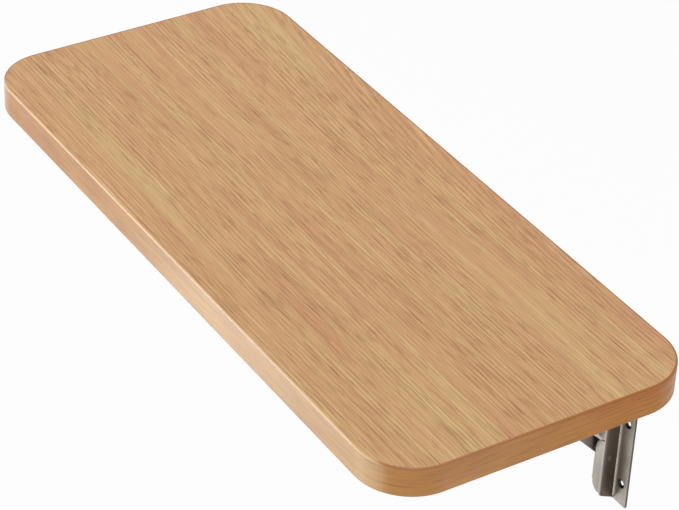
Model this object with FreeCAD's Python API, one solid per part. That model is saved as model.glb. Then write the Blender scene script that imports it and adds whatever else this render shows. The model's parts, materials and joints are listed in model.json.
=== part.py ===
import FreeCAD, Part
import math
import os

# Wall mounted drop leaf table: an oak-faced leaf on two folding steel brackets.
# Millimetres. X runs along the wall, -Y out into the room, +Z up. The origin lies in the wall plane,
# in the middle of the pattern of wall holes. The leaf is up, as in use.

V = FreeCAD.Vector

# Leaf
leaf_length = 700.0
leaf_depth = 300.0
leaf_thickness = 28.0
leaf_corner_radius = 50.0
laminate_thickness = 0.8
edge_band_thickness = 2.0
edge_band_arris = 1.2
leaf_wall_gap = 0.5

# Wall plate of a bracket
bracket_inset = 71.5
plate_width = 72.0
leg_height = 167.0
leg_top_gap = 3.0
plate_corner_radius = 1.0
plate_step_radius = 4.0
plate_foot_reach = 12.0
wall_hole_pitch = 65.0
wall_hole_rise = 3.0
wall_hole_radius = 2.2
wall_hole_sink_radius = 4.4
wall_hole_land = 0.6
wall_hole_edge = 9.0

# Leg channel
steel_sheet = 2.0
leg_depth = 17.0
pivot_out = 9.0
cheek_outer_half = 19.0
slot_half = 6.5
bend_radius = 2.5
inner_bend_radius = 0.5
inner_cheek_length = 90.0
lip_corner_radius = 8.5
lip_shoulder_radius = 11.0
lip_tab_radius = 4.0
lip_top_radius = 4.0
lip_top_gap = 2.0
lip_notch_gap = 1.8
lip_notch_rise = 19.0
leg_end_slant = 8.0
lip_end_gap = 1.5

# Arm under the leaf
arm_length = 236.0
arm_depth = 17.0
arm_leg_gap = 1.0
arm_wall_gap = 2.5
arm_back_radius = 5.0
arm_front_radius = 9.0
washer_thickness = 2.0
washer_radius = 6.0
side_gap = 0.1

# Strut of two links
strut_pivot_drop = 112.0
anchor_reach = 106.0
link_width = 11.0
link_sheet = 3.0
link_gap = 1.6
link_heel_length = 6.0
heel_gap = 0.2
pivot_radius = 3.0
anchor_pin_radius = 2.5
knee_rivet_radius = 2.5
knee_head_radius = 4.8
knee_head_height = 1.6
rivet_head_radius = 3.6
rivet_head_height = 0.5
hinge_head_radius = 5.5
hinge_head_height = 2.0
sleeve_radius = 5.0
running_gap = 0.05
link_side_gap = 0.3

# Anchor of the strut on the arm
anchor_sheet = 1.6
anchor_base_sheet = 2.0
anchor_base_length = 28.0
anchor_base_width = 11.4
anchor_ear_radius = 5.5
anchor_pin_head_radius = 4.0
anchor_pin_head_height = 0.9
anchor_pin_inner_head = 0.6
anchor_rivet_radius = 2.0
anchor_rivet_head_radius = 2.8
anchor_rivet_head_height = 0.7
anchor_rivet_reach = 10.5

# Screws that hold the arm to the leaf
screw_radius = 2.0
screw_head_radius = 3.9
screw_length = 18.0
screw_tip = 3.0
screw_spread = 13.0
screw_shares = (0.14, 0.42, 0.92)
recess_width = 0.9
recess_reach = 2.2
recess_depth = 0.8

# Overrun of every cut past the faces that it opens
overrun = 1.0

# Places worked out from the sizes above
leaf_under = (leg_height / 2 - wall_hole_rise) + leg_top_gap
leg_top = leaf_under - leg_top_gap
leg_bottom = leg_top - leg_height
bracket_x = leaf_length / 2 - bracket_inset - plate_width / 2
pivot_cover = leg_depth - pivot_out
hinge_drop = pivot_cover + arm_leg_gap + steel_sheet
hinge = V(0, -pivot_out, leaf_under - hinge_drop)
inner_end = hinge.z - inner_cheek_length
strut_pivot = hinge - V(0, 0, strut_pivot_drop)
anchor = hinge - V(0, anchor_reach, 0)
strut_length = (anchor - strut_pivot).Length
lower_length = (strut_length + strut_pivot_drop - anchor_reach) / 2
strut_way = (anchor - strut_pivot) / strut_length
knee = strut_pivot + strut_way * lower_length
cheek_inner_half = cheek_outer_half - steel_sheet
arm_inner_half = cheek_outer_half + washer_thickness + 2 * side_gap
arm_outer_half = arm_inner_half + steel_sheet
lower_link_in = link_gap / 2
lower_link_out = lower_link_in + link_sheet
upper_link_in = -link_gap / 2
upper_link_out = upper_link_in - link_sheet
arm_back = -arm_wall_gap
arm_front = arm_back - arm_length
plate_under = leaf_under - steel_sheet
anchor_under = plate_under - anchor_base_sheet
anchor_mid = (upper_link_in + upper_link_out) / 2


def rounded_face(points, place):
    """A flat face with rounded corners: points are (a, b, corner radius), place puts a and b in space."""
    count = len(points)
    edges = []
    entries = []
    leaves = []
    for index in range(count):
        a, b, radius = points[index]
        here = V(a, b, 0)
        before = V(points[index - 1][0], points[index - 1][1], 0)
        after = V(points[(index + 1) % count][0], points[(index + 1) % count][1], 0)
        to_before = (before - here).normalize()
        to_after = (after - here).normalize()
        half_turn = to_before.getAngle(to_after) / 2
        reach = radius / math.tan(half_turn)
        entry = here + to_before * reach
        leave = here + to_after * reach
        entries.append(entry)
        leaves.append(leave)
        if radius > 0:
            middle_way = (to_before + to_after).normalize()
            middle = here + middle_way * (radius / math.sin(half_turn) - radius)
            edges.append(Part.Arc(place(entry), place(middle), place(leave)).toShape())
    for index in range(count):
        start = leaves[index]
        end = entries[(index + 1) % count]
        edges.append(Part.LineSegment(place(start), place(end)).toShape())
    return Part.Face(Part.Wire(Part.__sortEdges__(edges)))


def in_plan(point):
    """Plan view: a runs along the wall, b out into the room."""
    return V(point.x, -point.y, 0)


def in_front(point):
    """View on the wall: a runs along the wall, b up."""
    return V(point.x, 0, point.y)


def in_side(point):
    """View along the wall: a runs out into the room, b up."""
    return V(0, -point.x, point.y)


def rectangle(a_low, a_high, b_low, b_high, radius):
    """Corner points of a rectangle with one corner radius."""
    corners = ((a_low, b_low), (a_high, b_low), (a_high, b_high), (a_low, b_high))
    return [(a, b, radius) for a, b in corners]


def side_prism(points, x_low, x_high):
    """A side profile carried along the wall from x_low to x_high."""
    face = rounded_face(points, in_side)
    face.translate(V(x_low, 0, 0))
    return face.extrude(V(x_high - x_low, 0, 0))


def plan_prism(points, z_low, z_high):
    """A plan outline carried up from z_low to z_high."""
    face = rounded_face(points, in_plan)
    face.translate(V(0, 0, z_low))
    return face.extrude(V(0, 0, z_high - z_low))


def front_prism(points, out_low, out_high):
    """An outline on the wall carried out into the room."""
    face = rounded_face(points, in_front)
    face.translate(V(0, -out_low, 0))
    return face.extrude(V(0, out_low - out_high, 0))


def cross_rod(centre, radius, x_low, x_high):
    """A round rod along the wall direction."""
    return Part.makeCylinder(radius, x_high - x_low, V(x_low, centre.y, centre.z), V(1, 0, 0))


def dome(centre, radius, height, x_face, way):
    """A rivet's rounded head that stands on the plane x_face and points along way, +1 or -1."""
    ball_radius = (radius * radius + height * height) / (2 * height)
    ball = Part.makeSphere(ball_radius, V(x_face + way * (height - ball_radius), centre.y, centre.z))
    low = min(x_face, x_face + way * height)
    return ball.common(cross_rod(centre, radius, low, low + height))


def bar(start, end, x_low, x_high):
    """A flat strut link with round ends about its two pivots."""
    half = link_width / 2
    along = (end - start).normalize()
    across = V(1, 0, 0).cross(along)
    edges = [
        Part.Arc(start + across * half, start - along * half, start - across * half).toShape(),
        Part.LineSegment(start - across * half, end - across * half).toShape(),
        Part.Arc(end - across * half, end + along * half, end + across * half).toShape(),
        Part.LineSegment(end + across * half, start + across * half).toShape(),
    ]
    face = Part.Face(Part.Wire(edges))
    face.translate(V(x_low, 0, 0))
    return face.extrude(V(x_high - x_low, 0, 0))


# Leaf

def leaf_prism(inset, radius_cut, z_low, z_high):
    """A slab with the leaf's outline, drawn in by inset."""
    half = leaf_length / 2 - inset
    back = leaf_wall_gap + inset
    front = leaf_wall_gap + leaf_depth - inset
    return plan_prism(rectangle(-half, half, back, front, leaf_corner_radius - radius_cut), z_low, z_high)


def screw_places():
    """Where the arm screws of the bracket stand, on the leaf's underside."""
    places = []
    for share in screw_shares:
        for side in (-1, 1):
            places.append(V(bracket_x + side * screw_spread, arm_back - arm_length * share, leaf_under))
    return places


def screw_hole(place):
    """The pilot hole of one screw."""
    reach = screw_length + running_gap
    return Part.makeCylinder(screw_radius + running_gap, reach, place - V(0, 0, steel_sheet))


def both_sides(shapes):
    """The shapes and their mirror images at the other bracket."""
    return shapes + [shape.mirror(V(0, 0, 0), V(1, 0, 0)) for shape in shapes]


def make_leaf():
    """Core, laminates and edge band of the leaf."""
    top = leaf_under + leaf_thickness
    core_low = leaf_under + laminate_thickness
    core_high = top - laminate_thickness
    inset = edge_band_thickness
    holes = both_sides([screw_hole(place) for place in screw_places()])
    core = leaf_prism(inset, inset, core_low, core_high).cut(holes)
    under = leaf_prism(inset, inset, leaf_under, core_low).cut(holes)
    upper = leaf_prism(inset, inset, core_high, top)
    block = leaf_prism(0, 0, leaf_under, top)
    arrises = [edge for edge in block.Edges if abs(edge.BoundBox.ZLength) < running_gap]
    block = block.makeFillet(edge_band_arris, arrises)
    band = block.cut(leaf_prism(inset, inset, leaf_under - overrun, top + overrun))
    return {
        "leaf_core": core,
        "leaf_top_laminate": upper,
        "leaf_bottom_laminate": under,
        "leaf_edge_band": band,
    }


# Bracket, drawn about the plane X = 0 and moved to its place afterwards

def wall_hole(spot):
    """The countersunk hole of one wall screw."""
    sink_depth = steel_sheet - wall_hole_land
    start = spot + V(0, overrun, 0)
    land = spot - V(0, wall_hole_land, 0)
    bore = Part.makeCylinder(wall_hole_radius, steel_sheet + 2 * overrun, start, V(0, -1, 0))
    sink = Part.makeCone(wall_hole_radius, wall_hole_sink_radius, sink_depth, land, V(0, -1, 0))
    return [bore, sink]


def wall_plate():
    """The flat plate on the wall: full width by the hinge, a narrower foot below, countersunk holes."""
    half = plate_width / 2
    outline = [
        (half, leg_bottom, plate_corner_radius),
        (half, leg_top, plate_corner_radius),
        (-half, leg_top, plate_corner_radius),
        (-half, strut_pivot.z, plate_step_radius),
        (-plate_foot_reach, strut_pivot.z, plate_step_radius),
        (-plate_foot_reach, leg_bottom, plate_corner_radius),
    ]
    plate = front_prism(outline, 0, steel_sheet)
    hole_out = half - wall_hole_edge
    cutters = wall_hole(V(hole_out, 0, -wall_hole_pitch))
    for row in (0, 1):
        for side in (-1, 1):
            cutters += wall_hole(V(side * hole_out, 0, row * wall_hole_pitch))
    return plate.cut(cutters)


def lip_keep(z_low, z_high, low_radius, high_radius):
    """The part of a lip that stays, with its free corners rounded."""
    points = [
        (slot_half, z_low, low_radius),
        (cheek_outer_half, z_low, 0),
        (cheek_outer_half, z_high, 0),
        (slot_half, z_high, high_radius),
    ]
    return front_prism(points, leg_depth - steel_sheet - overrun, leg_depth + overrun)


def leg_cheek(lips):
    """One cheek of the leg: a wall that stands off the plate and turns in as lips."""
    section = [
        (cheek_inner_half, steel_sheet, 0),
        (cheek_outer_half, steel_sheet, 0),
        (cheek_outer_half, leg_depth, bend_radius),
        (slot_half, leg_depth, 0),
        (slot_half, leg_depth - steel_sheet, 0),
        (cheek_inner_half, leg_depth - steel_sheet, inner_bend_radius),
    ]
    cheek = plan_prism(section, leg_bottom, leg_top)
    lip_room = Part.makeBox(
        cheek_inner_half - slot_half + overrun, steel_sheet + overrun, leg_height,
        V(slot_half - overrun, -leg_depth - overrun, leg_bottom))
    cheek = cheek.cut(lip_room.cut(lips))
    slant = [
        (0, leg_bottom - overrun, 0),
        (leg_depth + overrun, leg_bottom - overrun, 0),
        (leg_depth + overrun, leg_bottom + leg_end_slant * (leg_depth + overrun) / leg_depth, 0),
        (0, leg_bottom, 0),
    ]
    corner = Part.makeBox(
        plate_width, pivot_cover + overrun, hinge_drop + overrun, V(0, -leg_depth - overrun, hinge.z))
    corner = corner.cut(cross_rod(hinge, pivot_cover, -overrun, plate_width + overrun))
    pin_hole = cross_rod(hinge, pivot_radius + running_gap, 0, cheek_outer_half + overrun)
    return cheek.cut([side_prism(slant, 0, plate_width), corner, pin_hole])


def leg_cheeks():
    """A long cheek nearer the table's end, which also carries the strut, and a short one by the hinge."""
    notch = strut_pivot.z + lip_notch_rise
    lip_top = hinge.z - lip_top_gap
    lip_end = leg_bottom + leg_end_slant + lip_end_gap
    lower = lip_keep(lip_end, notch, lip_corner_radius, lip_shoulder_radius)
    upper = lip_keep(notch + lip_notch_gap, lip_top, lip_tab_radius, lip_top_radius)
    outer = leg_cheek([lower, upper])
    outer = outer.cut(cross_rod(strut_pivot, pivot_radius, 0, cheek_outer_half + overrun))
    short = lip_keep(inner_end + lip_end_gap, lip_top, lip_corner_radius, lip_top_radius)
    below = Part.makeBox(
        plate_width, leg_depth + 2 * overrun, inner_end - leg_bottom + overrun,
        V(0, -leg_depth - overrun, leg_bottom - overrun))
    inner = leg_cheek([short]).cut(below).mirror(V(0, 0, 0), V(1, 0, 0))
    return Part.makeCompound([outer, inner])


def arm():
    """The U channel under the leaf."""
    section = [
        (-arm_outer_half, leaf_under - arm_depth, 0),
        (-arm_inner_half, leaf_under - arm_depth, 0),
        (-arm_inner_half, plate_under, inner_bend_radius),
        (arm_inner_half, plate_under, inner_bend_radius),
        (arm_inner_half, leaf_under - arm_depth, 0),
        (arm_outer_half, leaf_under - arm_depth, 0),
        (arm_outer_half, leaf_under, bend_radius),
        (-arm_outer_half, leaf_under, bend_radius),
    ]
    channel = front_prism(section, -arm_back, -arm_front)
    side = [
        (-arm_back, leaf_under - arm_depth, arm_back_radius),
        (-arm_front, leaf_under - arm_depth, arm_front_radius),
        (-arm_front, leaf_under, 0),
        (-arm_back, leaf_under, 0),
    ]
    channel = channel.common(side_prism(side, -arm_outer_half, arm_outer_half))
    cutters = [cross_rod(hinge, pivot_radius + running_gap, -plate_width, plate_width)]
    for place in screw_places():
        spot = place - V(bracket_x, 0, steel_sheet)
        cutters.append(Part.makeCone(screw_head_radius, screw_radius, steel_sheet, spot))
        cutters.append(Part.makeCylinder(screw_radius + running_gap, steel_sheet + overrun, spot))
    for spot in anchor_rivet_spots():
        cutters.append(Part.makeCylinder(anchor_rivet_radius, steel_sheet, V(spot.x, spot.y, plate_under)))
    return channel.cut(cutters)


def arm_screw(place):
    """A countersunk screw from the arm's plate up into the leaf."""
    foot = place - V(bracket_x, 0, steel_sheet)
    body = Part.makeCone(screw_head_radius, screw_radius, steel_sheet, foot)
    shank = Part.makeCylinder(screw_radius, screw_length - screw_tip, foot)
    tip = Part.makeCone(screw_radius, 0, screw_tip, foot + V(0, 0, screw_length - screw_tip))
    screw = body.fuse([shank, tip])
    for wide, deep in ((recess_reach, recess_width / 2), (recess_width / 2, recess_reach)):
        corner = foot - V(wide, deep, overrun)
        screw = screw.cut(Part.makeBox(2 * wide, 2 * deep, recess_depth + overrun, corner))
    return screw


def anchor_rivet_spots():
    """Where the two rivets of the strut anchor stand, in plan."""
    return [anchor + V(anchor_mid, side * anchor_rivet_reach, 0) for side in (-1, 1)]


def strut_anchor():
    """The angle on the arm that holds the strut's upper end."""
    half = anchor_base_width / 2
    length = anchor_base_length
    base_corner = V(-half, anchor.y - length / 2, anchor_under)
    base = Part.makeBox(anchor_base_width, length, anchor_base_sheet, base_corner)
    ear_low = upper_link_out - link_side_gap - anchor_sheet
    round_end = cross_rod(anchor, anchor_ear_radius, ear_low, ear_low + anchor_sheet)
    neck = Part.makeBox(
        anchor_sheet, 2 * anchor_ear_radius, anchor_under - anchor.z,
        V(ear_low, anchor.y - anchor_ear_radius, anchor.z))
    angle = base.fuse([round_end, neck])
    cutters = [cross_rod(anchor, anchor_pin_radius, -plate_width, plate_width)]
    for spot in anchor_rivet_spots():
        start = V(spot.x, spot.y, anchor_under - overrun)
        cutters.append(Part.makeCylinder(anchor_rivet_radius, anchor_base_sheet + 2 * overrun, start))
    return angle.cut(cutters).removeSplitter()


def anchor_rivets():
    """Two rivets that hold the anchor to the arm's plate."""
    rivets = []
    for spot in anchor_rivet_spots():
        foot = V(spot.x, spot.y, anchor_under)
        shank = Part.makeCylinder(anchor_rivet_radius, leaf_under - anchor_under, foot)
        head_foot = foot - V(0, 0, anchor_rivet_head_height)
        head = Part.makeCylinder(anchor_rivet_head_radius, anchor_rivet_head_height, head_foot)
        rivets.append(shank.fuse(head).removeSplitter())
    return Part.makeCompound(rivets)


def anchor_pin():
    """The pin in the anchor's ear, with a thin head that keeps the upper link on."""
    high = upper_link_in + running_gap
    low = upper_link_out - link_side_gap - anchor_sheet
    shank = cross_rod(anchor, anchor_pin_radius, low, high)
    head_high = cross_rod(anchor, anchor_pin_head_radius, high, high + anchor_pin_inner_head)
    head_low = cross_rod(anchor, anchor_pin_head_radius, low - anchor_pin_head_height, low)
    return shank.fuse([head_high, head_low]).removeSplitter()


def lower_link():
    """The strut link that turns on the leg."""
    link = bar(strut_pivot, knee, lower_link_in, lower_link_out)
    pivot_hole = cross_rod(strut_pivot, pivot_radius + running_gap, 0, plate_width)
    knee_hole = cross_rod(knee, knee_rivet_radius, 0, plate_width)
    return link.cut([pivot_hole, knee_hole])


def upper_link():
    """The strut link that turns on the arm, with the heel that stops the knee when straight."""
    link = bar(anchor, knee, upper_link_out, upper_link_in)
    heel_height = anchor_under - heel_gap - anchor.z
    heel = Part.makeBox(
        link_sheet, link_heel_length, heel_height, V(upper_link_out, anchor.y - link_heel_length, anchor.z))
    pin_hole = cross_rod(anchor, anchor_pin_radius + running_gap, -plate_width, 0)
    knee_hole = cross_rod(knee, knee_rivet_radius, -plate_width, 0)
    return link.fuse(heel).removeSplitter().cut([pin_hole, knee_hole])


def knee_rivet(x_in, x_out):
    """One half of the knee rivet, seated in one link and headed outside it."""
    way = math.copysign(1, x_out - x_in)
    shank = cross_rod(knee, knee_rivet_radius, min(x_in, x_out), max(x_in, x_out))
    return shank.fuse(dome(knee, knee_head_radius, knee_head_height, x_out, way)).removeSplitter()


def strut_pivot_rivet():
    """The rivet that carries the lower link on the leg's outer cheek."""
    shank = cross_rod(strut_pivot, pivot_radius, lower_link_in, cheek_outer_half)
    head = dome(strut_pivot, rivet_head_radius, rivet_head_height, cheek_outer_half, 1)
    return shank.fuse(head).removeSplitter()


def pivot_sleeve():
    """The spacer on the strut pivot, between cheek and link."""
    low = lower_link_out + link_side_gap
    tube = cross_rod(strut_pivot, sleeve_radius, low, cheek_inner_half)
    return tube.cut(cross_rod(strut_pivot, pivot_radius, low - overrun, cheek_inner_half + overrun))


def hinge_pin():
    """The long pin on which the arm turns, headed outside the arm's walls."""
    reach = arm_outer_half + side_gap
    shank = cross_rod(hinge, pivot_radius, -reach, reach)
    heads = [dome(hinge, hinge_head_radius, hinge_head_height, way * reach, way) for way in (-1, 1)]
    return shank.fuse(heads).removeSplitter()


def hinge_washers():
    """A washer between cheek and arm on each side."""
    low = cheek_outer_half + side_gap
    ring = cross_rod(hinge, washer_radius, low, low + washer_thickness)
    high = low + washer_thickness
    ring = ring.cut(cross_rod(hinge, pivot_radius + running_gap, low - overrun, high + overrun))
    return Part.makeCompound([ring, ring.mirror(V(0, 0, 0), V(1, 0, 0))])


def make_bracket():
    """Every piece of one bracket, about X = 0."""
    return {
        "wall_plate": wall_plate(),
        "leg_cheeks": leg_cheeks(),
        "hinge_pin": hinge_pin(),
        "hinge_washers": hinge_washers(),
        "arm": arm(),
        "arm_screws": Part.makeCompound([arm_screw(place) for place in screw_places()]),
        "strut_anchor": strut_anchor(),
        "anchor_rivets": anchor_rivets(),
        "anchor_pin": anchor_pin(),
        "upper_link": upper_link(),
        "upper_knee_rivet": knee_rivet(-running_gap, upper_link_out),
        "lower_link": lower_link(),
        "lower_knee_rivet": knee_rivet(running_gap, lower_link_out),
        "strut_pivot_rivet": strut_pivot_rivet(),
        "pivot_sleeve": pivot_sleeve(),
    }


nodes = make_leaf()
for name, shape in make_bracket().items():
    shape.translate(V(bracket_x, 0, 0))
    nodes["right_" + name] = shape
    nodes["left_" + name] = shape.mirror(V(0, 0, 0), V(1, 0, 0))

os.makedirs("parts", exist_ok=True)
for name, shape in nodes.items():
    shape.exportStep("parts/" + name + ".step")
    print(name, len(shape.Solids), "solids", round(shape.Volume), "mm3", "valid", shape.isValid())
print("leaf underside", leaf_under, "bracket at", bracket_x)
print("hinge", tuple(hinge), "strut pivot", tuple(strut_pivot), "anchor", tuple(anchor), "knee", tuple(knee))
print("strut slope", math.degrees(math.atan2(strut_pivot_drop, anchor_reach)))
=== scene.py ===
# %% [markdown]
# # A wall mounted drop leaf table
# The table is an oak-look board on two folding steel brackets. The solids come from the CAD frame, which
# already has every piece at its real size and place. This lesson dresses them: it sets the camera, writes the
# finishes as node trees, adds the small pieces that repeat, and lights the table like a studio shot.

# %% Load the frame
import bpy
import json
import math
from mathutils import Matrix, Vector


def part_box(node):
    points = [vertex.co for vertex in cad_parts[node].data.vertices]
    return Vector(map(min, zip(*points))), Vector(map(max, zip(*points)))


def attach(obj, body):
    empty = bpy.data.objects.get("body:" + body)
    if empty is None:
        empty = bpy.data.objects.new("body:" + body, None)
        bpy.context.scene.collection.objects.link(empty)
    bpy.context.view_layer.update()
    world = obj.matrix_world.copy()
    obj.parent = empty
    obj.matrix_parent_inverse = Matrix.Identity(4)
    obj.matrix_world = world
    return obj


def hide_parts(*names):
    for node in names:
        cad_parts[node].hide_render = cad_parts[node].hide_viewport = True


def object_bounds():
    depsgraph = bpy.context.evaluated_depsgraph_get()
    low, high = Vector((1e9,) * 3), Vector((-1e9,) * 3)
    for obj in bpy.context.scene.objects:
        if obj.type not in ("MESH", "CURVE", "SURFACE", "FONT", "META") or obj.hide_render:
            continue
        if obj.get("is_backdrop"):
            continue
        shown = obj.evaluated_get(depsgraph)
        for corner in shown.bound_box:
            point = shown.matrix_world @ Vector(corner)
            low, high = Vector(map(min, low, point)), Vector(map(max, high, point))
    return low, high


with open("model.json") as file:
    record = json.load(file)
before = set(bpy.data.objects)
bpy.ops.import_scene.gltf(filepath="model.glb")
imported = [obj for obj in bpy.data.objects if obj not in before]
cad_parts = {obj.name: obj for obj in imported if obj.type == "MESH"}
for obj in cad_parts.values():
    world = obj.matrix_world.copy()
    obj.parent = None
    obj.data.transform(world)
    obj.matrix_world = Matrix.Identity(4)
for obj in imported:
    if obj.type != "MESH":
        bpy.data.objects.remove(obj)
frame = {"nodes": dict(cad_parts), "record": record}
cad_low, cad_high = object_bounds()
nodes = frame["nodes"]
print("CAD nodes:", len(nodes), "box from", tuple(cad_low), "to", tuple(cad_high))

# %% [markdown]
# ## The camera
# The photograph looks down on one end of the table through a long lens. Its angles, distance and lens were
# found by fitting the leaf's outline. A camera could be aimed with a constraint, but a matrix built from the
# angles keeps the small roll of the picture, so the camera is placed by its three axes.

# %% Place the camera
PHOTO_WIDTH = 679
FOCAL_PIXELS = 2726.5
SENSOR_WIDTH = 36.0
FAR_CLIP = 50.0
VIEW_AZIMUTH = math.radians(56.643)
VIEW_ELEVATION = math.radians(34.530)
VIEW_ROLL = math.radians(2.696)
VIEW_DISTANCE = 2.4558
VIEW_LEFT = 0.1078
VIEW_DOWN = 0.0596


def photo_axes():
    """Right, up and backward axes of the camera, with the picture's roll."""
    flat = math.cos(VIEW_ELEVATION)
    back = Vector((math.sin(VIEW_AZIMUTH) * flat, -math.cos(VIEW_AZIMUTH) * flat, math.sin(VIEW_ELEVATION)))
    level_right = Vector((0, 0, 1)).cross(back).normalized()
    level_up = back.cross(level_right)
    right = level_right * math.cos(VIEW_ROLL) + level_up * math.sin(VIEW_ROLL)
    up = level_up * math.cos(VIEW_ROLL) - level_right * math.sin(VIEW_ROLL)
    return right, up, back


band_low, band_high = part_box("leaf_edge_band")
back_edge = Vector((0, band_high.y, band_low.z))
right, up, back = photo_axes()
place = back_edge - right * VIEW_LEFT - up * VIEW_DOWN + back * VIEW_DISTANCE
lens = bpy.data.cameras.new("photo_camera")
lens.sensor_width = SENSOR_WIDTH
lens.lens = FOCAL_PIXELS / PHOTO_WIDTH * SENSOR_WIDTH
lens.clip_end = FAR_CLIP
camera = bpy.data.objects.new("photo_camera", lens)
camera.matrix_world = Matrix.Translation(place) @ Matrix((right, up, back)).transposed().to_4x4()
bpy.context.scene.collection.objects.link(camera)
bpy.context.scene.camera = camera
print("camera at", tuple(place), "lens", lens.lens)

# %% [markdown]
# ## Writing shader maths as sums
# Blender's materials are node trees. Adding each Math node by hand hides the idea behind them, so a small class
# wraps a socket: adding or multiplying two wrapped sockets adds the Math node. Every other node comes from one
# method that takes the node's type, its settings and its sockets.

# %% A socket that can be used in sums
# The Mix node repeats its socket names for each kind of data, so its colour sockets go by number.
MIX_SHARE, MIX_FIRST, MIX_SECOND, MIX_RESULT = 0, 6, 7, 2


class Flow:
    """A value that flows through a material's tree."""

    def __init__(self, tree, socket=None):
        self.tree = tree
        self.socket = socket

    def node(self, kind, settings=None, sockets=None, out=0):
        """Adds any node: its settings are set first, then its sockets, by name or number."""
        made = self.tree.nodes.new(kind)
        for name, value in (settings or {}).items():
            setattr(made, name, value)
        for name, value in (sockets or {}).items():
            if isinstance(value, Flow):
                self.tree.links.new(value.socket, made.inputs[name])
            else:
                made.inputs[name].default_value = value
        return Flow(self.tree, made.outputs[out] if made.outputs else None)

    def maths(self, operation, *values):
        return self.node("ShaderNodeMath", {"operation": operation}, dict(enumerate(values)))

    def __add__(self, other):
        return self.maths("ADD", self, other)

    __radd__ = __add__

    def __sub__(self, other):
        return self.maths("SUBTRACT", self, other)

    def __rsub__(self, other):
        return self.maths("SUBTRACT", other, self)

    def __mul__(self, other):
        return self.maths("MULTIPLY", self, other)

    __rmul__ = __mul__

    def __pow__(self, other):
        return self.maths("POWER", self, other)

    def __rpow__(self, other):
        return self.maths("POWER", other, self)

    def part(self, axis):
        """The X, Y or Z of this coordinate."""
        return self.node("ShaderNodeSeparateXYZ", None, {"Vector": self}, out=axis)

    def spread(self, low, high):
        """0 at low, 1 at high, smooth between and clamped outside."""
        settings = {"interpolation_type": "SMOOTHSTEP"}
        return self.node("ShaderNodeMapRange", settings, {"Value": self, "From Min": low, "From Max": high})

    def between(self, low, high):
        """Low where this value is 0, high where it is 1."""
        return self * (high - low) + low

    def mix(self, first, second):
        """A colour between first and second, by this value."""
        sockets = {MIX_SHARE: self, MIX_FIRST: first, MIX_SECOND: second}
        return self.node("ShaderNodeMix", {"data_type": "RGBA"}, sockets, out=MIX_RESULT)

    def stretch(self, scale, shift=(0.0, 0.0, 0.0)):
        """A coordinate scaled and moved."""
        scaled = self.node("ShaderNodeVectorMath", {"operation": "MULTIPLY"}, {0: self, 1: scale})
        return self.node("ShaderNodeVectorMath", {"operation": "ADD"}, {0: scaled, 1: shift})

    def noise(self, scale, shift=(0.0, 0.0, 0.0), detail=2.0, roughness=0.5):
        """Noise from 0 to 1 about this coordinate. The scale says how many bumps fit in a metre."""
        sockets = {"Vector": self.stretch(scale, shift), "Scale": 1.0, "Detail": detail, "Roughness": roughness}
        return self.node("ShaderNodeTexNoise", None, sockets)


print("sums on sockets ready")

# %% [markdown]
# ## Starting a finish
# Every finish starts in the same way: a material with its main shader, and the object coordinates, which stay with
# a piece when it moves. Generated coordinates would stretch with each piece's box, so they are not used. Colours
# are written as a screen shows them, because that is how a maker picks them.

# %% Helpers for the finishes
BUMP_DEPTH = 0.0002


def tone(red, green, blue):
    """A colour given as a screen shows it, from 0 to 255, as the linear colour that a shader needs."""
    parts = []
    for value in (red, green, blue):
        share = value / 255
        # These are the numbers of the curve that screens share.
        parts.append(share / 12.92 if share <= 0.04045 else ((share + 0.055) / 1.055) ** 2.4)
    return (*parts, 1.0)


def start_material(name):
    """A new material, its main shader and its object coordinates."""
    material = bpy.data.materials.new(name)
    material.use_nodes = True
    tree = material.node_tree
    point = Flow(tree).node("ShaderNodeTexCoord", out="Object")
    return material, tree.nodes["Principled BSDF"], point


def feed(shader, values):
    """Links or sets the main shader's sockets."""
    tree = shader.id_data
    for name, value in values.items():
        if isinstance(value, Flow):
            tree.links.new(value.socket, shader.inputs[name])
        else:
            shader.inputs[name].default_value = value


def bump(height, strength):
    """A Normal from a height."""
    sockets = {"Strength": strength, "Distance": BUMP_DEPTH, "Height": height}
    return height.node("ShaderNodeBump", None, sockets)


def dress(material, *names):
    """Gives CAD nodes a finish."""
    for name in names:
        mesh = nodes[name].data
        mesh.materials.clear()
        mesh.materials.append(material)


print("a mid grey of 128 is", round(tone(128, 128, 128)[0], 3), "to a shader")

# %% [markdown]
# ## Oak-look laminate
# The top is a printed oak paper under clear melamine. Oak shows long growth lines that run with the board, short
# dark pores along them, and bands of yellow and red. Noise stretched along the board gives only straight streaks.
# Here the grain is read in a bent coordinate instead: the distance from a slightly tilted axis that lies just
# beyond the back edge. On the flat top that gives lines which fan out a little, as they do in the photograph. A
# sine of the distance draws the growth lines, slow noise makes them wander, and short dashes break them up.

# %% Bend the grain
RING_AXIS_Y = 0.012
RING_AXIS_DROP = 0.024
RING_AXIS_TILT = -0.088
RING_SWAY = 0.010
SWAY_SCALE = (2.4, 7.0, 0.0)
GRAIN_DRIFT = 0.04


def growth_lines(point):
    """The distance from the ring axis, and a coordinate with that as Y and the board's length as X."""
    along, across = point.part("X"), point.part("Y")
    sway = point.noise(SWAY_SCALE, detail=1.0) - 0.5
    off_axis = across - RING_AXIS_Y + sway * RING_SWAY
    drop = along * RING_AXIS_TILT + RING_AXIS_DROP
    ring = (off_axis * off_axis + drop * drop) ** 0.5
    return ring, point.node("ShaderNodeCombineXYZ", None, {"X": along, "Y": ring, "Z": across * GRAIN_DRIFT})


print("ring axis", RING_AXIS_Y - band_high.y, "m beyond the back edge")

# %% [markdown]
# ## The layers of the print
# A printed oak is several inks over each other, and so is this finish. Each layer is a noise with its own size, in
# bumps for each metre along the board, across it and by a slow drift. One noise with many octaves would be shorter
# to write, but then pores, lines and bands could not have their own colours and strengths.

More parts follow.
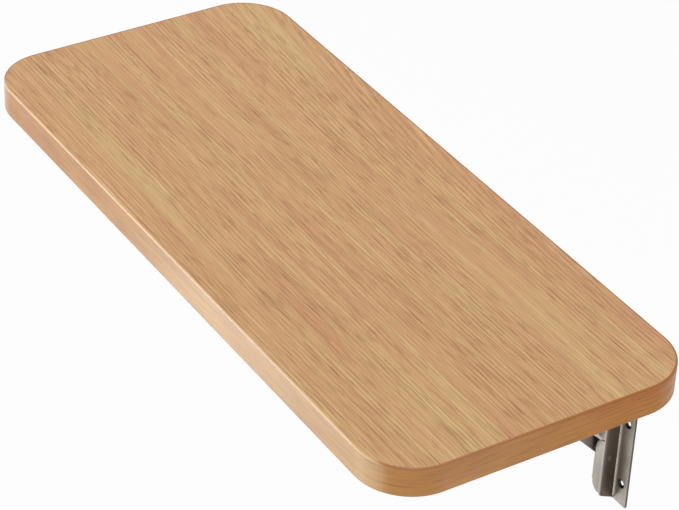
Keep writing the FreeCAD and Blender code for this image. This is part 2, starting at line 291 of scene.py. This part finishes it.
# %% Make the laminate
OAK_MIDDLE = tone(197, 151, 102)
OAK_YELLOW = tone(198, 162, 108)
OAK_RED = tone(192, 138, 96)
OAK_LIGHT = tone(222, 186, 138)
OAK_DARK = tone(158, 104, 54)
OAK_PORE = tone(136, 84, 40)
OAK_NOISE = {
    "bands": {"scale": (1.5, 42.0, 0.0), "shift": (0.0, 4.0, 0.0)},
    "blush": {"scale": (5.0, 60.0, 0.0), "shift": (9.0, 0.0, 0.0), "detail": 1.0},
    "streaks": {"scale": (5.0, 760.0, 8.0), "roughness": 0.6},
    "gleams": {"scale": (5.0, 700.0, 8.0), "shift": (0.0, 31.0, 0.0), "roughness": 0.6},
    "wander": {"scale": (2.2, 48.0, 0.0), "shift": (2.0, 0.0, 0.0)},
    "dashes": {"scale": (16.0, 420.0, 12.0), "shift": (0.0, 7.0, 0.0), "detail": 1.0},
    "pores": {"scale": (36.0, 1000.0, 24.0), "detail": 1.0},
    "crowds": {"scale": (2.5, 40.0, 0.0), "shift": (5.0, 0.0, 0.0), "detail": 1.0},
}
# The value at which each noise starts to show, and the value at which it shows in full.
OAK_SHOWS = {
    "bands": (0.42, 0.66), "blush": (0.45, 0.70), "streaks": (0.50, 0.74), "gleams": (0.51, 0.75),
    "dashes": (0.42, 0.58), "pores": (0.52, 0.66), "crowds": (0.06, 0.66),
}
LINE_PITCH = 0.0039
LINE_WANDER = 9.0
LINE_SHOWS = (0.30, 0.95)
LINE_GAPS = 0.4
BLUSH_SHARE = 0.6
GLEAM_SHARE = 0.75
STREAK_SHARE = 0.55
LINE_SHARE = 0.60
PORE_SHARE = 0.6
PORE_BUMP = 0.20
LAMINATE_ROUGHNESS = (0.40, 0.52)


def oak_laminate():
    material, shader, point = start_material("oak_laminate")
    ring, grain = growth_lines(point)
    raw = {name: grain.noise(**sizes) for name, sizes in OAK_NOISE.items()}
    mask = {name: raw[name].spread(*ends) for name, ends in OAK_SHOWS.items()}
    comb = ring.maths("SINE", ring * (2 * math.pi / LINE_PITCH) + raw["wander"] * LINE_WANDER)
    lines = comb.spread(*LINE_SHOWS) * mask["dashes"].between(LINE_GAPS, 1.0)
    crowd = mask["crowds"]
    colour = mask["bands"].mix(OAK_MIDDLE, OAK_YELLOW)
    colour = (mask["blush"] * BLUSH_SHARE).mix(colour, OAK_RED)
    colour = (mask["gleams"] * GLEAM_SHARE).mix(colour, OAK_LIGHT)
    colour = (mask["streaks"] * crowd * STREAK_SHARE).mix(colour, OAK_DARK)
    colour = (lines * crowd * LINE_SHARE).mix(colour, OAK_DARK)
    colour = (mask["pores"] * crowd * PORE_SHARE).mix(colour, OAK_PORE)
    feed(shader, {
        "Base Color": colour,
        "Roughness": raw["streaks"].between(*LAMINATE_ROUGHNESS),
        "Normal": bump(1 - mask["pores"], PORE_BUMP),
    })
    return material


laminate = oak_laminate()
dress(laminate, "leaf_top_laminate", "leaf_bottom_laminate")
print("laminate nodes:", len(laminate.node_tree.nodes))

# %% [markdown]
# ## Edge band
# The band is a strip of oak-look plastic glued round the edge, so its grain runs along the edge all the way
# round. It is more orange than the top. It is painted redder towards the wall and paler along the front, where the
# paler colour is painted sheen. Along the front, use has polished it so that it mirrors the room, and its upper arris
# carries a painted pale highlight. A strip map would need the band unwrapped. Squeezing the noise along the height
# and stretching it in both flat directions gives the same look on every side and corner, and the distance from the
# front edge sets the polish, the painted sheen and the painted highlight.

# %% Make the edge band
BAND_LIGHT = tone(205, 146, 62)
BAND_DARK = tone(184, 117, 41)
BAND_LINE = tone(146, 84, 34)
BAND_RED = tone(188, 108, 50)
BAND_ARRIS = tone(166, 104, 46)
# Pale colour of the painted highlight on the front's upper arris.
BAND_GLINT = tone(240, 210, 172)
BAND_NOISE = {
    "broad": {"scale": (4.0, 4.0, 130.0)},
    "lines": {"scale": (26.0, 26.0, 560.0), "shift": (0.0, 0.0, 2.3), "detail": 3.0, "roughness": 0.6},
    "patches": {"scale": (14.0, 14.0, 30.0), "shift": (5.0, 0.0, 0.0), "detail": 1.0},
    "blush": {"scale": (11.0, 11.0, 95.0), "shift": (0.0, 3.0, 8.0)},
}
BAND_SHOWS = {"broad": (0.3, 0.7), "lines": (0.46, 0.68), "patches": (0.3, 0.7), "blush": (0.45, 0.65)}
BROAD_SHARE = 0.2
PATCH_SHARE = 0.5
SHADE_START = 0.1
BAND_LINE_SHARE = 0.48
# Shares at the wall and at the front edge. The smaller shares at the front paint the front's sheen in as paler
# colour.
BLUSH_AND_SHEEN_SHARES = (0.5, 0.15)
RED_AND_SHEEN_SHARES = (0.3, 0.0)
# Distances in metres: polish ends this far from the wall, and is full this far behind the front edge.
POLISH_WALL_GAP = 0.03
POLISH_FRONT_DEPTH = 0.05
# The painted highlight on the arris starts to fade this far behind the front edge, and is gone this far behind it.
GLINT_FADE = (0.001, 0.010)
# The painted highlight is full on faces that look into the room, by this range of their direction, and partial on
# those that look up.
GLINT_FACING = (0.58, 0.70)
GLINT_ON_TOP = 0.4
GLINT_SMOOTHS = 0.15
ARRIS_DEPTH = 0.0016
BAND_ROUGHNESS = (0.30, 0.40)
BAND_BUMP = 0.06
BAND_SPECULAR = 0.25
FRONT_COAT = 0.75
COAT_ROUGHNESS = 0.25


def oak_edge_band():
    material, shader, point = start_material("oak_edge_band")
    raw = {name: point.noise(**sizes) for name, sizes in BAND_NOISE.items()}
    mask = {name: raw[name].spread(*ends) for name, ends in BAND_SHOWS.items()}
    depth, height = point.part("Y"), point.part("Z")
    outward = 0 - point.node("ShaderNodeTexCoord", out="Normal").part("Y")
    top_arris = height.spread(band_high.z - ARRIS_DEPTH, band_high.z - ARRIS_DEPTH / 2)
    low_arris = height.spread(band_low.z + ARRIS_DEPTH, band_low.z + ARRIS_DEPTH / 2)
    polish = depth.spread(band_high.y - POLISH_WALL_GAP, band_low.y + POLISH_FRONT_DEPTH)
    past_glint = depth.spread(band_low.y + GLINT_FADE[0], band_low.y + GLINT_FADE[1])
    # Painted highlight: a pale line along the front's upper arris.
    painted_glint = top_arris * (1 - past_glint) * outward.spread(*GLINT_FACING).between(GLINT_ON_TOP, 1.0)
    shade = mask["broad"] * BROAD_SHARE + mask["patches"] * PATCH_SHARE + SHADE_START
    # Random red blush, partly the band's tone; its fall towards the front is painted sheen.
    redness_and_sheen = mask["blush"] * polish.between(*BLUSH_AND_SHEEN_SHARES) + polish.between(*RED_AND_SHEEN_SHARES)
    colour = shade.mix(BAND_DARK, BAND_LIGHT)
    colour = redness_and_sheen.mix(colour, BAND_RED)
    colour = (mask["lines"] * BAND_LINE_SHARE).mix(colour, BAND_LINE)
    colour = (top_arris * past_glint + low_arris).mix(colour, BAND_ARRIS)
    # The painted highlight is mixed in over the front arris.
    colour = painted_glint.mix(colour, BAND_GLINT)
    feed(shader, {
        "Base Color": colour,
        "Roughness": raw["lines"].between(*BAND_ROUGHNESS) - painted_glint * GLINT_SMOOTHS,
        "Normal": bump(raw["lines"], BAND_BUMP),
        "Specular IOR Level": BAND_SPECULAR,
        "Coat Weight": polish * FRONT_COAT,
        "Coat Roughness": COAT_ROUGHNESS,
    })
    return material


band = oak_edge_band()
dress(band, "leaf_edge_band")
print("edge band nodes:", len(band.node_tree.nodes))

# %% [markdown]
# ## Particle board
# The core is pressed wood chips. It is closed in by the laminates and the band, and shows only if the leaf is
# taken apart, so a cell pattern of chips in two browns is enough. Chips lie flat, so the cells are squashed.

# %% Make the core
CHIP_LIGHT = tone(206, 172, 126)
CHIP_DARK = tone(150, 112, 72)
CHIP_SQUASH = (1.0, 1.0, 2.0)
CHIP_SCALE = 420.0
CHIP_ROUGHNESS = (0.8, 0.9)


def particle_board():
    material, shader, point = start_material("particle_board")
    sockets = {"Vector": point.stretch(CHIP_SQUASH), "Scale": CHIP_SCALE}
    chips = point.node("ShaderNodeTexVoronoi", None, sockets, out="Color")
    shade = chips.node("ShaderNodeSeparateColor", None, {"Color": chips}, out="Red")
    feed(shader, {"Base Color": shade.mix(CHIP_DARK, CHIP_LIGHT), "Roughness": shade.between(*CHIP_ROUGHNESS)})
    return material


core = particle_board()
dress(core, "leaf_core")
print("core nodes:", len(core.node_tree.nodes))

# %% [markdown]
# ## Countersinks
# The wall screws sit in countersunk holes, whose cones look nearly black beside the brushed plate. That darkness is
# painted shade: a ring could be modelled into each hole, but the cones are in the CAD solids already, so they get
# only a nearly black tone. The record gives the holes' columns and rows, so a distance from the nearest hole picks
# the cones out.

# %% Find the countersinks
MILLIMETRE = 0.001
SINK_RADIUS = 0.0044
SINK_RIM = 0.0003


def countersinks(point):
    """1 inside the wall holes' countersinks, in front of the plate's back."""
    mounts = {mount["name"]: mount["dims"] for mount in frame["record"]["mounts"]}
    outer = mounts["wall_holes_outer"]["spacing_x_mm"] * MILLIMETRE / 2
    inner = mounts["wall_holes_inner"]["spacing_x_mm"] * MILLIMETRE / 2
    pitch = mounts["wall_holes_inner"]["spacing_y_mm"] * MILLIMETRE
    across, depth, height = [point.part(axis) for axis in "XYZ"]
    off_bracket = across.maths("ABSOLUTE", across) - (outer + inner) / 2
    off_column = off_bracket.maths("ABSOLUTE", off_bracket) - (outer - inner) / 2
    off_row = height.maths("PINGPONG", height, pitch / 2)
    radius = (off_column * off_column + off_row * off_row) ** 0.5
    return radius.spread(SINK_RADIUS + SINK_RIM, SINK_RADIUS) * depth.spread(0.0, -SINK_RIM)


print("countersinks of", SINK_RADIUS, "m radius")

# %% [markdown]
# ## Brushed steel
# The bracket pieces are cut from stainless sheet, folded, and brushed on the faces that look into the room. Brushing
# leaves fine lines along a piece, so each piece gets the same finish with its lines turned: up the leg, out along
# the arm or up the slope of the strut. Side faces and cut edges get a darker tone, which is painted shade, darker on
# legs and arms than on struts. A second material on those faces would need the CAD mesh changed, so the face's own
# direction picks them out: the X part of its normal is near one there.

# %% Make the brushed steels
STEEL_BRIGHT = tone(177, 169, 163)
STEEL_DULL = tone(150, 142, 135)
# Darker tones for side faces and cut edges: painted shade.
LEG_SIDE_SHADE = (tone(92, 80, 71), tone(112, 100, 90))
STRUT_SIDE_SHADE = (tone(138, 129, 121), tone(162, 153, 145))
# Nearly black tone for the countersinks: painted shade.
SINK_SHADE = tone(46, 40, 37)
BRUSH_SCALE = (1500.0, 16.0, 1500.0)
BRUSH_SHOWS = (0.25, 0.75)
BRUSH_SHARE = 0.6
BRUSH_BUMP = 0.12
BRUSHED_ROUGHNESS = (0.26, 0.42)
SMUDGE_SCALE = (38.0, 38.0, 38.0)
SMUDGE_SHOWS = (0.35, 0.7)
SMUDGE_ROUGHENS = 0.08
SIDE_FACING = (0.45, 0.85)


def brushed_steel(name, slope, side_shade_tones, shaded_sinks=False):
    """Sheet whose brush lines run out and up at a slope: zero is level, a quarter turn is upright."""
    material, shader, point = start_material(name)
    turned = point.node("ShaderNodeMapping", None, {"Vector": point, "Rotation": (slope, 0.0, 0.0)})
    lines = turned.noise(BRUSH_SCALE)
    smudge = point.noise(SMUDGE_SCALE, detail=3.0).spread(*SMUDGE_SHOWS)
    sideways = point.node("ShaderNodeTexCoord", out="Normal").part("X")
    side = sideways.maths("ABSOLUTE", sideways).spread(*SIDE_FACING)
    shade = lines.spread(*BRUSH_SHOWS) * BRUSH_SHARE + smudge * (1 - BRUSH_SHARE)
    # Side faces get the darker tones, which are painted shade.
    colour = side.mix(shade.mix(STEEL_DULL, STEEL_BRIGHT), shade.mix(*side_shade_tones))
    if shaded_sinks:
        # The countersinks' cones get painted shade.
        colour = countersinks(point).mix(colour, SINK_SHADE)
    feed(shader, {
        "Base Color": colour,
        "Metallic": 1.0,
        "Roughness": lines.between(*BRUSHED_ROUGHNESS) + smudge * SMUDGE_ROUGHENS,
        "Normal": bump(lines, BRUSH_BUMP),
    })
    return material


link_low, link_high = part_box("right_upper_link")
strut_slope = math.atan2(link_high.z - link_low.z, link_high.y - link_low.y)
leg_steel = brushed_steel("leg_steel", math.pi / 2, LEG_SIDE_SHADE, shaded_sinks=True)
arm_steel = brushed_steel("arm_steel", 0.0, LEG_SIDE_SHADE)
strut_steel = brushed_steel("strut_steel", strut_slope, STRUT_SIDE_SHADE)
print("strut slope", round(math.degrees(strut_slope), 1), "degrees")

# %% [markdown]
# ## Bright steel, weld steel and nylon
# Pins, rivets and screws are turned and polished, weld metal is a little browner, and washers and sleeves are plain
# nylon, cloudy when seen close. Brush lines would be wrong on all of them, so a fine even noise changes their tone
# and gloss a little instead.

# %% Make the small finishes and dress the brackets
PIN_STEEL = (STEEL_DULL, tone(184, 180, 173))
WELD_STEEL = (tone(146, 134, 122), tone(188, 178, 168))
PIN_SMUDGE_SCALE = (160.0, 160.0, 160.0)
PIN_ROUGHNESS = (0.18, 0.33)
NYLON_TONES = (tone(214, 210, 198), tone(228, 225, 216))
NYLON_CLOUD_SCALE = (220.0, 220.0, 220.0)
NYLON_ROUGHNESS = (0.42, 0.52)
SIDES = ("right", "left")


def cloudy_finish(name, tones, scale, roughness, metallic):
    """A finish whose tone and gloss change a little from spot to spot."""
    material, shader, point = start_material(name)
    cloud = point.noise(scale)
    feed(shader, {
        "Base Color": cloud.mix(*tones),
        "Metallic": metallic,
        "Roughness": cloud.between(*roughness),
    })
    return material


pin_steel = cloudy_finish("bright_steel", PIN_STEEL, PIN_SMUDGE_SCALE, PIN_ROUGHNESS, 1.0)
weld_steel = cloudy_finish("weld_steel", WELD_STEEL, PIN_SMUDGE_SCALE, PIN_ROUGHNESS, 1.0)
nylon = cloudy_finish("natural_nylon", NYLON_TONES, NYLON_CLOUD_SCALE, NYLON_ROUGHNESS, 0.0)
finishes = {
    leg_steel: ("wall_plate", "leg_cheeks", "strut_pivot_rivet"),
    arm_steel: ("arm", "strut_anchor"),
    strut_steel: ("upper_link", "lower_link"),
    pin_steel: ("hinge_pin", "anchor_pin", "anchor_rivets", "upper_knee_rivet", "lower_knee_rivet",
                "arm_screws"),
    nylon: ("hinge_washers", "pivot_sleeve"),
}
for material, names in finishes.items():
    for side in SIDES:
        dress(material, *[side + "_" + name for name in names])
print("bracket finishes:", [material.name for material in finishes])

# %% [markdown]
# ## Growing small pieces with Geometry Nodes
# Screws repeat and welds follow a seam, so both are grown by node trees instead of being modelled one by one. A
# tree is built here much as a material is: one call adds a node, sets it and links it. The result is copied to a
# plain mesh, because the table is handed over as meshes without modifiers.

# %% Helpers for the node trees


class Grow:
    """A Geometry Nodes tree with named inputs."""

    def __init__(self, name, inputs):
        self.tree = bpy.data.node_groups.new(name, "GeometryNodeTree")
        face = self.tree.interface
        face.new_socket("Geometry", in_out="INPUT", socket_type="NodeSocketGeometry")
        face.new_socket("Geometry", in_out="OUTPUT", socket_type="NodeSocketGeometry")
        self.keys = {}
        for label, value in inputs.items():
            kind = "NodeSocketMaterial" if isinstance(value, bpy.types.Material) else "NodeSocketFloat"
            self.keys[label] = face.new_socket(label, in_out="INPUT", socket_type=kind).identifier
        self.start = self.tree.nodes.new("NodeGroupInput").outputs
        self.values = inputs

    def node(self, kind, settings=None, sockets=None, out=0):
        """Adds any node: its settings are set first, then its sockets, by name or number."""
        made = self.tree.nodes.new(kind)
        for name, value in (settings or {}).items():
            setattr(made, name, value)
        for name, value in (sockets or {}).items():
            if isinstance(value, bpy.types.NodeSocket):
                self.tree.links.new(value, made.inputs[name])
            else:
                made.inputs[name].default_value = value
        return made.outputs[out]

    def maths(self, operation, *values):
        return self.node("ShaderNodeMath", {"operation": operation}, dict(enumerate(values)))

    def raised(self, shape, height):
        """A shape moved up."""
        lift = self.node("ShaderNodeCombineXYZ", None, {"Z": height})
        return self.node("GeometryNodeTransform", None, {"Geometry": shape, "Translation": lift})

    def join(self, *parts):
        made = self.tree.nodes.new("GeometryNodeJoinGeometry")
        for part in parts:
            self.tree.links.new(part, made.inputs[0])
        return made.outputs[0]

    def finish(self, shape, material):
        """Ends the tree with real meshes in one finish."""
        real = self.node("GeometryNodeRealizeInstances", None, {0: shape})
        done = self.node("GeometryNodeSetMaterial", None, {0: real, "Material": material})
        self.tree.links.new(done, self.tree.nodes.new("NodeGroupOutput").inputs[0])

    def mesh(self, name, points):
        """Runs the tree on a chain of points and gives an object with a plain mesh."""
        seed = bpy.data.meshes.new(name + "_points")
        seed.from_pydata(points, [(i, i + 1) for i in range(len(points) - 1)], [])
        grower = bpy.data.objects.new(name + "_grower", seed)
        bpy.context.scene.collection.objects.link(grower)
        modifier = grower.modifiers.new("grow", "NODES")
        modifier.node_group = self.tree
        for label, value in self.values.items():
            modifier[self.keys[label]] = value
        graph = bpy.context.evaluated_depsgraph_get()
        plain = bpy.data.meshes.new_from_object(grower.evaluated_get(graph))
        plain.name = name
        grower.modifiers.remove(modifier)
        bpy.data.objects.remove(grower)
        bpy.data.meshes.remove(seed)
        piece = bpy.data.objects.new(name, plain)
        bpy.context.scene.collection.objects.link(piece)
        print(name, "has", len(plain.polygons), "faces")
        return piece


print("node tree helper ready")

# %% [markdown]
# ## Arm screws
# Six countersunk wood screws hold each arm to the leaf. Only their heads show, from below, yet a screw with its cross
# slot and thread also serves a reader who takes the table apart. Head, shank and point are three cones, a boolean
# cuts the cross slot, and the thread is a spiral with a small round section. One instance stands on every point.

# %% Draw one screw
SCREW_SIZES = {
    "Head radius": 0.0038,
    "Head depth": 0.0020,
    "Core radius": 0.0014,
    "Thread radius": 0.0019,
    "Thread pitch": 0.0016,
    "Length": 0.0178,
    "Point length": 0.0030,
    "Slot reach": 0.0022,
    "Slot width": 0.0009,
    "Slot depth": 0.0009,
}
HEAD_SIDES = 40
SHANK_SIDES = 24
THREAD_SIDES = 5
THREAD_STEPS = 18
# The thread starts this many head depths up, and is shorter than head and shank by this many.
THREAD_START = 1.5
THREAD_SHORT = 1.6


def slotted_head(tree, size):
    """A cone with a cross cut into its wide end."""
    head = tree.node("GeometryNodeMeshCone", None, {
        "Vertices": HEAD_SIDES, "Radius Top": size["Core radius"], "Radius Bottom": size["Head radius"],
        "Depth": size["Head depth"]})
    slots = []
    for turn in (0.0, math.pi / 2):
        box_size = tree.node("ShaderNodeCombineXYZ", None, {
            "X": tree.maths("MULTIPLY", size["Slot reach"], 2.0), "Y": size["Slot width"],
            "Z": tree.maths("MULTIPLY", size["Slot depth"], 2.0)})
        box = tree.node("GeometryNodeMeshCube", None, {"Size": box_size})
        slots.append(tree.node("GeometryNodeTransform", None, {"Geometry": box, "Rotation": (0.0, 0.0, turn)}))
    return tree.node("GeometryNodeMeshBoolean", {"operation": "DIFFERENCE"}, {
        "Mesh 1": head, "Mesh 2": tree.join(*slots)})


def screw_thread(tree, size, core_length):
    """A spiral ridge round the shank."""
    run = tree.maths("SUBTRACT", core_length, tree.maths("MULTIPLY", size["Head depth"], THREAD_SHORT))
    spiral = tree.node("GeometryNodeCurveSpiral", None, {
        "Resolution": THREAD_STEPS, "Rotations": tree.maths("DIVIDE", run, size["Thread pitch"]),
        "Start Radius": size["Core radius"], "End Radius": size["Core radius"], "Height": run})
    ridge = tree.maths("SUBTRACT", size["Thread radius"], size["Core radius"])
    section = tree.node("GeometryNodeCurvePrimitiveCircle", None, {"Resolution": THREAD_SIDES, "Radius": ridge})
    thread = tree.node("GeometryNodeCurveToMesh", None, {
        "Curve": spiral, "Profile Curve": section, "Fill Caps": True})
    return tree.raised(thread, tree.maths("MULTIPLY", size["Head depth"], THREAD_START))


def screw_tree():
    tree = Grow("arm_screws", dict(SCREW_SIZES, Steel=pin_steel))
    size = tree.start
    core_length = tree.maths("SUBTRACT", size["Length"], size["Point length"])
    core = tree.node("GeometryNodeMeshCone", None, {
        "Vertices": SHANK_SIDES, "Radius Top": size["Core radius"], "Radius Bottom": size["Core radius"],
        "Depth": tree.maths("SUBTRACT", core_length, size["Head depth"])})
    point = tree.node("GeometryNodeMeshCone", None, {
        "Vertices": SHANK_SIDES, "Radius Top": 0.0, "Radius Bottom": size["Core radius"],
        "Depth": size["Point length"]})
    screw = tree.join(
        slotted_head(tree, size), tree.raised(core, size["Head depth"]), tree.raised(point, core_length),
        screw_thread(tree, size, core_length))
    stand = tree.node("GeometryNodeInstanceOnPoints", None, {"Points": size["Geometry"], "Instance": screw})
    tree.finish(stand, size["Steel"])
    return tree


screw_grower = screw_tree()
print("screw tree nodes:", len(screw_grower.tree.nodes))

# %% [markdown]
# ## Setting the screws
# The screws stand in pairs along each arm, at set shares of its length, and go up into the leaf. They could be put
# at typed places, but read from the boxes of the arm and of the plain CAD screws they follow the frame. The threaded
# screws ride on the leaf and replace the plain ones.

# %% Set the arm screws
SCREW_SHARES = (0.14, 0.42, 0.92)
SCREW_SPREAD = 0.013
for side in SIDES:
    low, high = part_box(side + "_arm_screws")
    arm_low, arm_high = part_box(side + "_arm")
    middle = (low.x + high.x) / 2
    spots = []
    for share in SCREW_SHARES:
        out = arm_high.y + (arm_low.y - arm_high.y) * share
        spots += [(middle - SCREW_SPREAD, out, low.z), (middle + SCREW_SPREAD, out, low.z)]
    screws = screw_grower.mesh(side + "_threaded_screws", spots)
    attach(screws, "leaf")
    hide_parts(side + "_arm_screws")

# %% [markdown]
# ## Weld seams
# Each leg is a folded strip welded to its wall plate. The photograph shows the seam as a thin bright line at the
# foot of the outer cheek. A straight rod would look like wire, so the tree sweeps a round section along the seam
# and swells it with a sine along the height, as overlapping drops of weld metal do.

# %% Make the weld seams
SEAM_SIZES = {"Seam radius": 0.0018, "Drop pitch": 0.0022, "Ripple": 0.00016}
SEAM_STEPS = 260
SEAM_SIDES = 10
SEAM_END_GAP = 0.004


def seam_tree():
    tree = Grow("weld_seam", dict(SEAM_SIZES, Steel=weld_steel))
    size = tree.start
    path = tree.node("GeometryNodeMeshToCurve", None, {0: size["Geometry"]})
    path = tree.node("GeometryNodeResampleCurve", None, {"Curve": path, "Count": SEAM_STEPS})
    section = tree.node("GeometryNodeCurvePrimitiveCircle", None, {
        "Resolution": SEAM_SIDES, "Radius": size["Seam radius"]})
    bead = tree.node("GeometryNodeCurveToMesh", None, {
        "Curve": path, "Profile Curve": section, "Fill Caps": True})
    height = tree.node("ShaderNodeSeparateXYZ", None, {0: tree.node("GeometryNodeInputPosition")}, out="Z")
    phase = tree.maths("MULTIPLY", tree.maths("DIVIDE", height, size["Drop pitch"]), 2 * math.pi)
    swell = tree.maths("MULTIPLY", tree.maths("SINE", phase), size["Ripple"])
    way = tree.node("GeometryNodeInputNormal")
    push = tree.node("ShaderNodeVectorMath", {"operation": "SCALE"}, {0: way, "Scale": swell})
    bead = tree.node("GeometryNodeSetPosition", None, {"Geometry": bead, "Offset": push})
    tree.finish(bead, size["Steel"])
    return tree


seam_grower = seam_tree()
for side in SIDES:
    cheek_low, cheek_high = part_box(side + "_leg_cheeks")
    plate_low, plate_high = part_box(side + "_wall_plate")
    foot = (cheek_high.x if side == "right" else cheek_low.x, plate_low.y)
    seam = seam_grower.mesh(side + "_weld_seam", [
        (*foot, plate_low.z + SEAM_END_GAP), (*foot, plate_high.z - SEAM_END_GAP)])
    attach(seam, "wall_brackets")

# %% [markdown]
# ## Floor
# The photograph is a white studio shot. The floor is a plain sheet at a table's height below the leaf. More light
# would also turn it white, but would bleach the table. So it glows white to the camera and in reflections, with a
# small share left to plain paper, which takes the soft shadow.

# %% Make the floor
TABLE_HEIGHT = 0.75
FLOOR_HALF = 8.0
SHADOW_SHARE = 0.10
PAPER = (0.9, 0.9, 0.9, 1.0)
WHITE = (1.0, 1.0, 1.0, 1.0)
SEEN_RAYS = ("Is Camera Ray", "Is Glossy Ray", "Is Transmission Ray")


def seen_rays(flow):
    """1 where the camera looks, straight, by a mirror or through glass, and 0 for the light on things."""
    straight, mirrored, through = [flow.node("ShaderNodeLightPath", out=kind) for kind in SEEN_RAYS]
    return straight + mirrored + through


def white_floor():
    material = bpy.data.materials.new("white_floor")
    material.use_nodes = True
    tree = material.node_tree
    tree.nodes.clear()
    flow = Flow(tree)
    paper = flow.node("ShaderNodeBsdfDiffuse", None, {"Color": PAPER})
    glow = flow.node("ShaderNodeEmission", None, {"Color": WHITE, "Strength": 1.0})
    share = seen_rays(flow) * (1 - SHADOW_SHARE)
    blend = flow.node("ShaderNodeMixShader", None, {0: share, 1: paper, 2: glow})
    flow.node("ShaderNodeOutputMaterial", None, {"Surface": blend})
    return material


floor_level = cad_high.z - TABLE_HEIGHT
floor_mesh = bpy.data.meshes.new("studio_floor")
floor_corners = [
    (x * FLOOR_HALF, y * FLOOR_HALF, floor_level) for x, y in ((-1, -1), (1, -1), (1, 1), (-1, 1))]
floor_mesh.from_pydata(floor_corners, [], [(0, 1, 2, 3)])
floor_mesh.materials.append(white_floor())
floor = bpy.data.objects.new("studio_floor", floor_mesh)
bpy.context.scene.collection.objects.link(floor)
floor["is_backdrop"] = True
print("floor at", floor_level)

# %% [markdown]
# ## Lamps
# The light is soft and comes from the room's side and from above, with a weak lamp on the near end. The polished
# front edge shines in the photograph because it mirrors something bright and low. A brighter lamp would light the
# whole table, so a long low card stands before its front edge, a little green to balance the orange of the band.

# %% Set the lamps
# Each lamp's place, size in metres and power in watts.
LAMPS = {
    "key_lamp": ((-2.2, -1.5, 1.95), 1.0, 31),
    "top_lamp": ((0.6, -0.1, 2.5), 2.2, 22),
    "end_lamp": ((2.2, -1.1, 0.7), 1.2, 1.5),
}
CARD_PLACE = (-0.12, -0.98, floor_level + 0.15)
CARD_AIM = (0.06, band_low.y, band_low.z)
CARD_LENGTH = 1.4
CARD_HEIGHT = 0.25
CARD_POWER = 3.25
CARD_COLOUR = (0.88, 1.0, 0.86)


def soft_lamp(name, spot, aim, size, power):
    """A large square lamp that looks at a point."""
    lamp = bpy.data.lights.new(name, "AREA")
    lamp.shape = "SQUARE"
    lamp.size = size
    lamp.energy = power
    lamp_object = bpy.data.objects.new(name, lamp)
    way = Vector(aim) - Vector(spot)
    lamp_object.location = spot
    lamp_object.rotation_euler = way.to_track_quat("-Z", "Y").to_euler()
    bpy.context.scene.collection.objects.link(lamp_object)
    return lamp_object


leaf_middle = (band_low + band_high) / 2
for name, (spot, size, power) in LAMPS.items():
    soft_lamp(name, spot, leaf_middle, size, power)
low_card = soft_lamp("low_card", CARD_PLACE, CARD_AIM, CARD_LENGTH, CARD_POWER)
low_card.data.shape = "RECTANGLE"
low_card.data.size_y = CARD_HEIGHT
low_card.data.color = CARD_COLOUR
low_card.visible_camera = False
print("lamps:", [*LAMPS, low_card.name])

# %% [markdown]
# ## World
# The room around the table gives an even light from every side. Behind the table the picture is white. As with the
# floor, the white is only for what the camera sees, and a dimmer grey lights the table, so that colours come out
# about as they are written.

# %% Light the world
AMBIENT = (0.97, 0.97, 0.97, 1.0)
AMBIENT_STRENGTH = 0.6

world = bpy.data.worlds.new("studio_world")
bpy.context.scene.world = world
world.use_nodes = True
world.node_tree.nodes.clear()
sky = Flow(world.node_tree)
ambient = sky.node("ShaderNodeBackground", None, {"Color": AMBIENT, "Strength": AMBIENT_STRENGTH})
white = sky.node("ShaderNodeBackground", None, {"Color": WHITE, "Strength": 1.0})
shown = sky.node("ShaderNodeMixShader", None, {0: seen_rays(sky), 1: ambient, 2: white})
sky.node("ShaderNodeOutputWorld", None, {"Surface": shown})
bpy.context.scene.view_settings.view_transform = "Standard"
print("world nodes:", len(world.node_tree.nodes))

# %% [markdown]
# ## The dressed table's size
# The last cell measures the box of the dressed table.

# %% Measure the dressed table
low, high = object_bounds()
